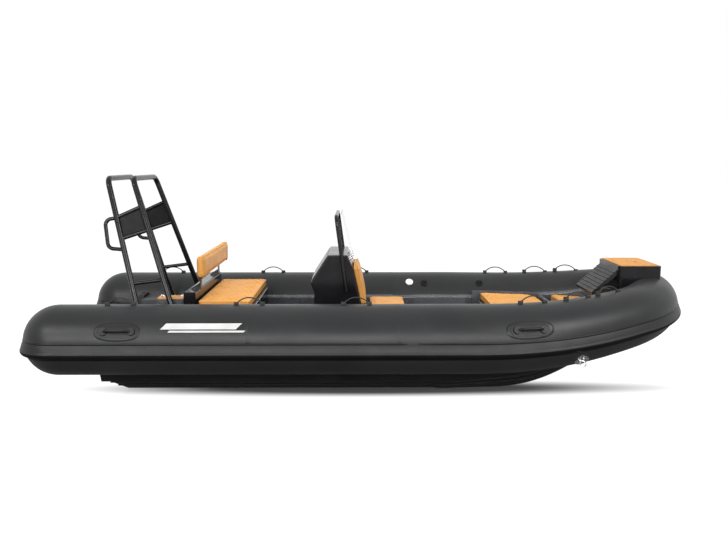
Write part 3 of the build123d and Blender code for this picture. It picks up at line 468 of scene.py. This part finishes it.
# Seams, grip patches and stripes on both tubes
SEAM_HALF = 0.016
for name, x in (("seam_aft", -0.905), ("seam_mid", BOW_SEAM_X)):
    run = run_at(x)
    band(
        name, run - SEAM_HALF, run + SEAM_HALF, STRAKE_TOP + radians(3), pi * 0.9, 0.0005, "tube_fabric",
        SEAM_HALF, both=True,
    )

GRIP_ANGLE = radians(24)
for name, x in (("grip_patch_aft", -1.829), ("grip_patch_fore", 1.062)):
    patch(f"{name}_rim", run_at(x), GRIP_ANGLE, oval(0.334, 0.138), 0.0009, "grip_rubber")
    patch(name, run_at(x), GRIP_ANGLE, oval(0.322, 0.126), 0.0022, "tube_fabric")


def stripe(name, x, angle, width, length=0.54, slant=0.9):
    """A swept stripe with slanted ends on both tubes."""
    half, rise = length / 2, width / 2
    outline = []
    corners = [
        (-half - slant * rise, -rise), (half - slant * rise, -rise), (half + slant * rise, rise),
        (-half + slant * rise, rise),
    ]
    for (a, b), (c, d) in zip(corners, corners[1:] + corners[:1]):
        parts = max(2, ceil(hypot(c - a, d - b) / 0.03))
        outline += [(a + (c - a) * i / parts, b + (d - b) * i / parts) for i in range(parts)]
    return patch(name, run_at(x), angle, outline, 0.0012, "stripe_white")


stripe("stripe_wide", -1.24, radians(33), 0.046)
stripe("stripe_narrow", -1.20, radians(24.5), 0.014)


# Small hardware
def turned(name, spots, profile, count=20):
    """Turned metal pieces: profile is (radius, height) from the rim to the middle; spots are (place, way out)."""
    verts, faces = [], []
    for place, out in spots:
        turn = Vector(out).normalized().to_track_quat("Z", "Y")
        start = len(verts)
        for radius, height in profile:
            for i in range(count):
                angle = 2 * pi * i / count
                verts.append(Vector(place) + turn @ Vector((radius * cos(angle), radius * sin(angle), height)))
        for ring in range(len(profile) - 1):
            for i in range(count):
                j = (i + 1) % count
                a, b = start + ring * count, start + (ring + 1) * count
                faces.append((a + i, a + j, b + j, b + i))
        faces.append(tuple(start + (len(profile) - 1) * count + i for i in range(count)))
        faces.append(tuple(start + i for i in reversed(range(count))))
    return piece(name, verts, faces, "bright_metal")


def dome(radius, height):
    """A bolt's round head."""
    arc = [(radius * cos(radians(a)), height * sin(radians(a))) for a in (0, 25, 50, 75)]
    return [(radius, -0.001)] + arc


def knuckles(name, x, z, half, radius, count=24):
    """A long hinge's barrel along a lid's edge, in short lengths."""
    gap, bevel = 0.0012, 0.0006
    pitch = 2 * half / count
    spots = [((x, -half + pitch * i, z), (0, 1, 0)) for i in range(count)]
    profile = [(radius * 0.85, gap), (radius, gap + bevel), (radius, pitch - bevel), (radius * 0.85, pitch)]
    return turned(name, spots, profile, count=12)


FOOT_X = (-1.812, -1.540)
FOOT_Y = 0.553
FOOT_TOP_Z = 0.438
BOLT_CIRCLE = 0.036
bolt_spots = []
for x, y in [(x, side * FOOT_Y) for x in FOOT_X for side in (-1, 1)]:
    for turn in range(3):
        angle = radians(90 + 120 * turn)
        place = (x + BOLT_CIRCLE * cos(angle), y + BOLT_CIRCLE * sin(angle), FOOT_TOP_Z)
        bolt_spots.append((place, (0, 0, 1)))
turned("arch_foot_bolts", bolt_spots, dome(0.0055, 0.0045))

SCREEN_OUT = (0.9708, 0, 0.2398)
screen_spots = [((-0.1719, y, 0.8708), SCREEN_OUT) for y in (-0.25, -0.085, 0.085, 0.25)]
turned("windscreen_bolts", screen_spots, dome(0.009, 0.006))

# Hinge barrels: the lid, whether its hinge is at its fore end (1) or its aft end (0)
for name, node, fore in (
    ("bench_hinge", "rear_bench_lid", 1),
    ("console_seat_hinge", "console_seat_lid", 1),
    ("bow_locker_hinge", "bow_locker_lid", 0),
    ("bow_step_hinge", "bow_step_lid", 1),
):
    low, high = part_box(node)
    half = (high[1] - low[1]) / 2 - 0.03
    knuckles(name, (low, high)[fore][0] + (0.001 if fore else -0.001), low[2], half, 0.0042)


# Soft goods
SKIN_VOXEL = 0.008
PUFF_START = 0.005
PUFF_CAP = 0.010
PROUD = 0.006
CROWN = 0.006
CROWN_REACH = 0.10
SEAM_DEPTH = 0.003
SEAM_WIDTH = 0.010
FACING_FROM = 0.55
PIPING_R = 0.0035
PIPING_SUNK = 0.4
PIPING_IN = 0.006
PIPING_CORNER = 0.03
UP = Vector((0, 0, 1))


def bake(obj):
    """Applies the modifiers that are on a piece."""
    graph = bpy.context.evaluated_depsgraph_get()
    mesh = bpy.data.meshes.new_from_object(obj.evaluated_get(graph), depsgraph=graph)
    obj.modifiers.clear()
    obj.data = mesh


def puff(obj, cap):
    """Swells a closed form as cloth under pressure; no point moves further than cap."""
    start = [v.co.copy() for v in obj.data.vertices]
    cloth = obj.modifiers.new("cloth", "CLOTH")
    cloth.settings.use_pressure = True
    cloth.settings.uniform_pressure_force = 4
    cloth.settings.effector_weights.gravity = 0
    scene = bpy.context.scene
    for number in range(1, 21):
        scene.frame_set(number)
    graph = bpy.context.evaluated_depsgraph_get()
    soft = [v.co.copy() for v in obj.evaluated_get(graph).data.vertices]
    obj.modifiers.clear()
    scene.frame_set(1)
    for vert, a, b in zip(obj.data.vertices, start, soft):
        move = b - a
        if move.length > cap:
            move = move * (cap / move.length)
        vert.co = a + move


def groove(distance, width):
    """1 on a sewn line and 0 beyond half its width."""
    return max(0.0, 1.0 - abs(distance) / (width / 2)) ** 1.5


def diamonds(u, v, pitch=0.075, wave=0.12, width=0.018):
    """Sewn lines in two slanting families, each a little wavy."""
    a = (u + v) / pitch
    b = (u - v) / pitch
    first = a + wave * sin(2 * pi * b * 0.5)
    second = b + wave * sin(2 * pi * a * 0.5)
    gap1 = (first - round(first)) * pitch * 0.7
    gap2 = (second - round(second)) * pitch * 0.7
    return max(groove(gap1, width), groove(gap2, width))


def cushion(node, face, inner, depth=0.0, voxel=SKIN_VOXEL):
    """
    Replaces a CAD cushion with a padded one.
    face(p) gives (u, v, out): the place on its show face and the way out of it. inner(u, v) is how far a place
    is inside the sewn border, in metres; depth is how deep its quilting is.
    """
    low, high = (Vector(c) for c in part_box(node))
    obj = bpy.data.objects.new(f"{node}_padded", frame["nodes"][node].data.copy())
    bpy.context.scene.collection.objects.link(obj)
    remesh = obj.modifiers.new("remesh", "REMESH")
    remesh.mode = "VOXEL"
    remesh.voxel_size = voxel
    bake(obj)
    normals = [v.normal.copy() for v in obj.data.vertices]
    for vert, normal in zip(obj.data.vertices, normals):
        vert.co -= normal * PUFF_START
    puff(obj, PUFF_CAP)
    finer = obj.modifiers.new("finer", "SUBSURF")
    finer.levels = 1
    bake(obj)
    normals = [v.normal.copy() for v in obj.data.vertices]
    for vert, normal in zip(obj.data.vertices, normals):
        u, v, out = face(vert.co)
        facing = max(0.0, normal.dot(out) - FACING_FROM) / (1 - FACING_FROM)
        if facing > 0:
            inside = inner(u, v)
            rise = CROWN * min(1.0, max(0.0, inside) / CROWN_REACH) * facing
            if depth and inside > 0:
                rise -= depth * diamonds(u, v) * min(1.0, inside / PROUD) * facing
            rise -= SEAM_DEPTH * groove(inside, SEAM_WIDTH) * facing
            vert.co += out * rise
        vert.co += normal * 0.0012 * noise.noise(vert.co * 9.0) * (1 - 0.5 * facing)
        for axis in range(3):
            floor = low[axis] - (0.0 if axis == 2 else PROUD)
            vert.co[axis] = min(high[axis] + PROUD, max(floor, vert.co[axis]))
    obj.data.update()
    obj.data.shade_smooth()
    obj.data.materials.clear()
    obj.data.materials.append(FINISH["seat_vinyl"])
    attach(obj, BODY_OF[node])
    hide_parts(node)
    return obj


def piping(name, obj, points, body):
    """A sewn cord that lies on a padded piece along the points."""
    curve = bpy.data.curves.new(name, "CURVE")
    curve.dimensions = "3D"
    curve.bevel_depth = PIPING_R
    curve.bevel_resolution = 2
    spline = curve.splines.new("POLY")
    spline.points.add(len(points) - 1)
    for spot, point in zip(spline.points, points):
        found, place, normal, _ = obj.closest_point_on_mesh(Vector(point))
        place = place + normal * PIPING_R * (1 - PIPING_SUNK) if found else Vector(point)
        spot.co = (*place, 1)
    spline.use_cyclic_u = True
    line = bpy.data.objects.new(name, curve)
    bpy.context.scene.collection.objects.link(line)
    curve.materials.append(FINISH["seat_vinyl"])
    graph = bpy.context.evaluated_depsgraph_get()
    mesh = bpy.data.meshes.new_from_object(line.evaluated_get(graph), depsgraph=graph)
    bpy.data.objects.remove(line)
    line = bpy.data.objects.new(name, mesh)
    bpy.context.scene.collection.objects.link(line)
    mesh.shade_smooth()
    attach(line, body)
    return line


def rounded_loop(a0, a1, b0, b1, count=8, step=0.02):
    """Points round a rectangle with round corners, in its own two axes."""
    corner = PIPING_CORNER
    corners = (
        (a1 - corner, b1 - corner), (a0 + corner, b1 - corner), (a0 + corner, b0 + corner), (a1 - corner, b0 + corner)
    )
    points = []
    for turn, (ca, cb) in enumerate(corners):
        for i in range(count + 1):
            angle = (turn + i / count) * pi / 2
            points.append((ca + corner * cos(angle), cb + corner * sin(angle)))
    fine = []
    for (a, b), (c, d) in zip(points, points[1:] + points[:1]):
        parts = max(1, int(hypot(c - a, d - b) / step))
        fine += [(a + (c - a) * i / parts, b + (d - b) * i / parts) for i in range(parts)]
    return fine


def box_inner(a0, a1, b0, b1, border):
    return lambda u, v: min(u - a0, a1 - u, v - b0, b1 - v) - border


def top_face(p):
    return p.x, p.y, UP


def seat(node, border, depth=0.0):
    """A padded seat with square sides and piping round its top."""
    low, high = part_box(node)
    soft = cushion(node, top_face, box_inner(low[0], high[0], low[1], high[1], border), depth)
    loop = rounded_loop(low[0] + PIPING_IN, high[0] - PIPING_IN, low[1] + PIPING_IN, high[1] - PIPING_IN)
    points = [(a, b, high[2] - PIPING_IN) for a, b in loop]
    piping(node.replace("cushion", "piping"), soft, points, BODY_OF[node])


seat("rear_bench_cushion", 0.045, depth=0.010)

# Backrest, its show face forward
BACKREST_IN = 0.005
low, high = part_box("rear_backrest_cushion")
backrest = cushion(
    "rear_backrest_cushion",
    lambda p: (p.y, p.z, Vector((1, 0, 0))),
    box_inner(low[1], high[1], low[2], high[2], 0.030),
    voxel=0.007,
)
loop = rounded_loop(low[1] + BACKREST_IN, high[1] - BACKREST_IN, low[2] + BACKREST_IN, high[2] - BACKREST_IN)
points = [(high[0] - PIPING_IN, a, b) for a, b in loop]
piping("rear_backrest_piping", backrest, points, BODY_OF["rear_backrest_cushion"])

seat("console_seat_cushion", 0.04)

# Back pad on the console's sloping front
PAD_OUT = Vector((1, 0, 0.213)).normalized()
PAD_UP = Vector((-0.213, 0, 1)).normalized()
PAD_HALF_HEIGHT = 0.1675
PAD_HALF_THICK = 0.018
low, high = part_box("console_back_pad")
pad_mid = Vector(((low[0] + high[0]) / 2, 0, (low[2] + high[2]) / 2))


def pad_face(p):
    return p.y, (p - pad_mid).dot(PAD_UP), PAD_OUT


back_pad = cushion("console_back_pad", pad_face, box_inner(low[1], high[1], -PAD_HALF_HEIGHT, PAD_HALF_HEIGHT, 0.035))
points = [
    pad_mid + PAD_OUT * PAD_HALF_THICK + PAD_UP * b + Vector((0, a, 0))
    for a, b in rounded_loop(-0.294, 0.294, -0.162, 0.162)
]
piping("console_back_pad_piping", back_pad, points, BODY_OF["console_back_pad"])


# Bow cushions, shaped to the cockpit
def plan_half(inset, x):
    """Half the width inside the tubes' centre line less an inset, at x."""
    if x <= BOW_START_X:
        return TUBE_Y - inset
    reach = (BOW_ARC_R - inset) * sin(BOW_ARC_TURN)
    if x - BOW_START_X <= reach:
        rise = asin((x - BOW_START_X) / (BOW_ARC_R - inset))
        return TUBE_Y - inset - (BOW_ARC_R - inset) * (1 - cos(rise))
    return sqrt(max(0.0, (BOW_TIP_R - inset) ** 2 - (x - BOW_CENTRE_X) ** 2))


def plan_loop(inset, x0, x1, margin, count=24):
    side = [(x0 + margin + (x1 - x0 - 2 * margin) * i / count) for i in range(count + 1)]
    port = [(x, plan_half(inset, x) - margin) for x in side]
    return port + [(x, -y) for x, y in reversed(port)]


def plan_inner(inset, x0, x1, border):
    return lambda u, v: min(u - x0, x1 - u, plan_half(inset, u) - abs(v)) - border


# The bow hatch: (x, half width) down one side, aft to fore
BOW_HATCH = ((0.965, 0.518), (1.345, 0.452), (1.440, 0.360))


def hatch_half(x):
    for (x0, w0), (x1, w1) in zip(BOW_HATCH, BOW_HATCH[1:]):
        if x <= x1:
            return w0 + (w1 - w0) * (x - x0) / (x1 - x0)
    return BOW_HATCH[-1][1]


def hatch_inner(u, v):
    return min(u - BOW_HATCH[0][0], BOW_HATCH[-1][0] - u, (hatch_half(u) - abs(v)) * 0.9) - 0.042


def hatch_loop(margin, count=20):
    x0, x1 = BOW_HATCH[0][0] + margin, BOW_HATCH[-1][0] - margin
    side = [x0 + (x1 - x0) * i / count for i in range(count + 1)]
    port = [(x, hatch_half(x) - margin * 1.2) for x in side]
    across = [(x1, port[-1][1] * (1 - 2 * i / count)) for i in range(1, count)]
    back = [(x0, -port[0][1] * (1 - 2 * i / count)) for i in range(1, count)]
    return port + across + [(x, -y) for x, y in reversed(port)] + back


BOW_CUSHION_INSET = 0.292
for node in ("bow_locker_cushion", "bow_deck_cushion"):
    low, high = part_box(node)
    if node == "bow_locker_cushion":
        inner, loop = hatch_inner, hatch_loop(PIPING_IN)
    else:
        inner = plan_inner(BOW_CUSHION_INSET, low[0], high[0], 0.040)
        loop = plan_loop(BOW_CUSHION_INSET, low[0], high[0], PIPING_IN)
    soft = cushion(node, top_face, inner, depth=0.009)
    piping(f"{node}_piping", soft, [(a, b, high[2] - PIPING_IN) for a, b in loop], BODY_OF[node])

# The bow deck goes on under the bow step to the tube, as a plate at the deck's own height
DECK_REACH = 0.170
low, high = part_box("bow_deck")
plate_x0, plate_x1 = high[0] - 0.010, BOW_CENTRE_X + BOW_TIP_R - DECK_REACH
side = [plate_x0 + (plate_x1 - plate_x0) * i / 24 for i in range(25)]
rim = [(x, plan_half(DECK_REACH, x)) for x in side]
rim += [(x, -plan_half(DECK_REACH, x)) for x in reversed(side[:-1])]
count = len(rim)
verts = [Vector((x, y, z)) for z in (high[2] - 0.001, high[2] - 0.013) for x, y in rim]
faces = [tuple(reversed(range(count))), tuple(range(count, 2 * count))]
faces += [(i, (i + 1) % count, count + (i + 1) % count, count + i) for i in range(count)]
piece("bow_deck_fore", verts, faces, "liner_gelcoat", smooth=False)

# Floor: it shows white to the eye, in reflections and through glass, with a painted shadow along the keel where its
# glow fades almost to nothing
FLOOR_HALF = 60.0
# The floor's glow in the middle of the ellipse under the keel, where its painted shadow is darkest
PAINTED_SHADOW_GLOW = 0.02
floor_mat = bpy.data.materials.new("studio_floor")
floor_mat.use_nodes = True
tree = floor_mat.node_tree
tree.nodes.remove(tree.nodes["Principled BSDF"])
diffuse = add(tree, "ShaderNodeBsdfDiffuse")
diffuse.inputs["Color"].default_value = (*grey(0.20), 1)
dark = add(tree, "ShaderNodeBsdfDiffuse")
dark.inputs["Color"].default_value = (*grey(0.22), 1)
either = add(tree, "ShaderNodeMixShader")
glow = add(tree, "ShaderNodeEmission")
rays = add(tree, "ShaderNodeLightPath")
place = add(tree, "ShaderNodeTexCoord")
level = add(tree, "ShaderNodeMath", operation="MULTIPLY")


def seen_rays(tree, rays):
    """1 for a camera, glossy or transmission ray."""
    seen = add(tree, "ShaderNodeMath", operation="MAXIMUM")
    shown = add(tree, "ShaderNodeMath", operation="MAXIMUM")
    tree.links.new(rays.outputs["Is Camera Ray"], seen.inputs[0])
    tree.links.new(rays.outputs["Is Glossy Ray"], seen.inputs[1])
    tree.links.new(seen.outputs[0], shown.inputs[0])
    tree.links.new(rays.outputs["Is Transmission Ray"], shown.inputs[1])
    return shown.outputs[0]


def glow_fade(narrow, start, end):
    """The floor's glow, which grows outward from the keel line in an ellipse; the dim middle is a painted shadow."""
    squeeze = add(tree, "ShaderNodeMapping")
    squeeze.inputs["Scale"].default_value = (1.0, narrow, 0.0)
    reach = add(tree, "ShaderNodeVectorMath", operation="LENGTH")
    fade = add(tree, "ShaderNodeMapRange", interpolation_type="SMOOTHSTEP")
    fade.inputs["From Min"].default_value = start
    fade.inputs["From Max"].default_value = end
    fade.inputs["To Min"].default_value = PAINTED_SHADOW_GLOW
    fade.inputs["To Max"].default_value = 1.0
    tree.links.new(place.outputs["Object"], squeeze.inputs["Vector"])
    tree.links.new(squeeze.outputs["Vector"], reach.inputs[0])
    tree.links.new(reach.outputs["Value"], fade.inputs["Value"])
    return fade.outputs["Result"]


# The eye sees a thin ellipse of painted shadow along the keel; reflections and glass see a wide one, which puts
# painted shade into the reflections on the boat's undersides
choice = add(tree, "ShaderNodeMix")
tree.links.new(rays.outputs["Is Camera Ray"], choice.inputs[0])
tree.links.new(glow_fade(1.3, 1.5, 9.0), choice.inputs[2])
tree.links.new(glow_fade(10.0, 1.2, 3.0), choice.inputs[3])
tree.links.new(choice.outputs[0], level.inputs[1])
lit = add(tree, "ShaderNodeAddShader")
shown = seen_rays(tree, rays)
tree.links.new(shown, level.inputs[0])
tree.links.new(level.outputs[0], glow.inputs["Strength"])
tree.links.new(diffuse.outputs[0], lit.inputs[0])
tree.links.new(glow.outputs[0], lit.inputs[1])
tree.links.new(shown, either.inputs["Fac"])
tree.links.new(dark.outputs[0], either.inputs[1])
tree.links.new(lit.outputs[0], either.inputs[2])
tree.links.new(either.outputs[0], tree.nodes["Material Output"].inputs["Surface"])

floor_mesh = bpy.data.meshes.new("studio_floor")
corners = [(x * FLOOR_HALF, y * FLOOR_HALF, FLOOR_Z) for x, y in ((-1, -1), (1, -1), (1, 1), (-1, 1))]
floor_mesh.from_pydata(corners, [], [(0, 1, 2, 3)])
floor = bpy.data.objects.new("studio_floor", floor_mesh)
floor_mesh.materials.append(floor_mat)
bpy.context.scene.collection.objects.link(floor)

# World: white to the same rays, dim as a light
WORLD_LIGHT = 0.16
world = bpy.data.worlds.new("studio")
bpy.context.scene.world = world
world.use_nodes = True
tree = world.node_tree
background = tree.nodes["Background"]
background.inputs["Color"].default_value = (1, 1, 1, 1)
level = add(tree, "ShaderNodeMapRange")
level.inputs["To Min"].default_value = WORLD_LIGHT
level.inputs["To Max"].default_value = 1.0
tree.links.new(seen_rays(tree, add(tree, "ShaderNodeLightPath")), level.inputs["Value"])
tree.links.new(level.outputs["Result"], background.inputs["Strength"])


def softbox(name, place, aim, size, power, mirrored=True):
    """An area lamp; mirrored says whether it shows in glossy reflections."""
    light = bpy.data.lights.new(name, "AREA")
    light.shape = "RECTANGLE"
    light.size, light.size_y = size
    light.energy = power
    obj = bpy.data.objects.new(name, light)
    obj.location = place
    obj.rotation_euler = (Vector(aim) - Vector(place)).to_track_quat("-Z", "Y").to_euler()
    obj.visible_glossy = mirrored
    bpy.context.scene.collection.objects.link(obj)


softbox("overhead", (0.0, 0.6, 5.5), (0, 0, 0), (7.0, 2.6), 330, mirrored=False)
softbox("front", (0.0, -7.4, 2.1), (0, 0, 0.35), (12.0, 1.4), 560)
softbox("bow_side", (6.8, -6.2, 5.6), (1.4, -1.1, 0.4), (3.6, 2.4), 420)
softbox("stern_side", (-6.1, -7.0, 5.6), (-2.3, -1.0, 0.4), (2.6, 2.0), 260)

# Camera, fitted to the photo
SENSOR_MM = 36
FOCAL_PX = 820
PHOTO_PX = 728
camera = bpy.data.cameras.new("camera")
camera.sensor_width = SENSOR_MM
camera.lens = FOCAL_PX * SENSOR_MM / PHOTO_PX
camera.clip_end = 300
camera_object = bpy.data.objects.new("camera", camera)
camera_object.location = (-0.1375, -6.787, 1.638)
camera_object.rotation_euler = (radians(90 - 7.78), 0, radians(-0.49))
bpy.context.scene.collection.objects.link(camera_object)
bpy.context.scene.camera = camera_object
bpy.context.scene.view_settings.view_transform = "Standard"
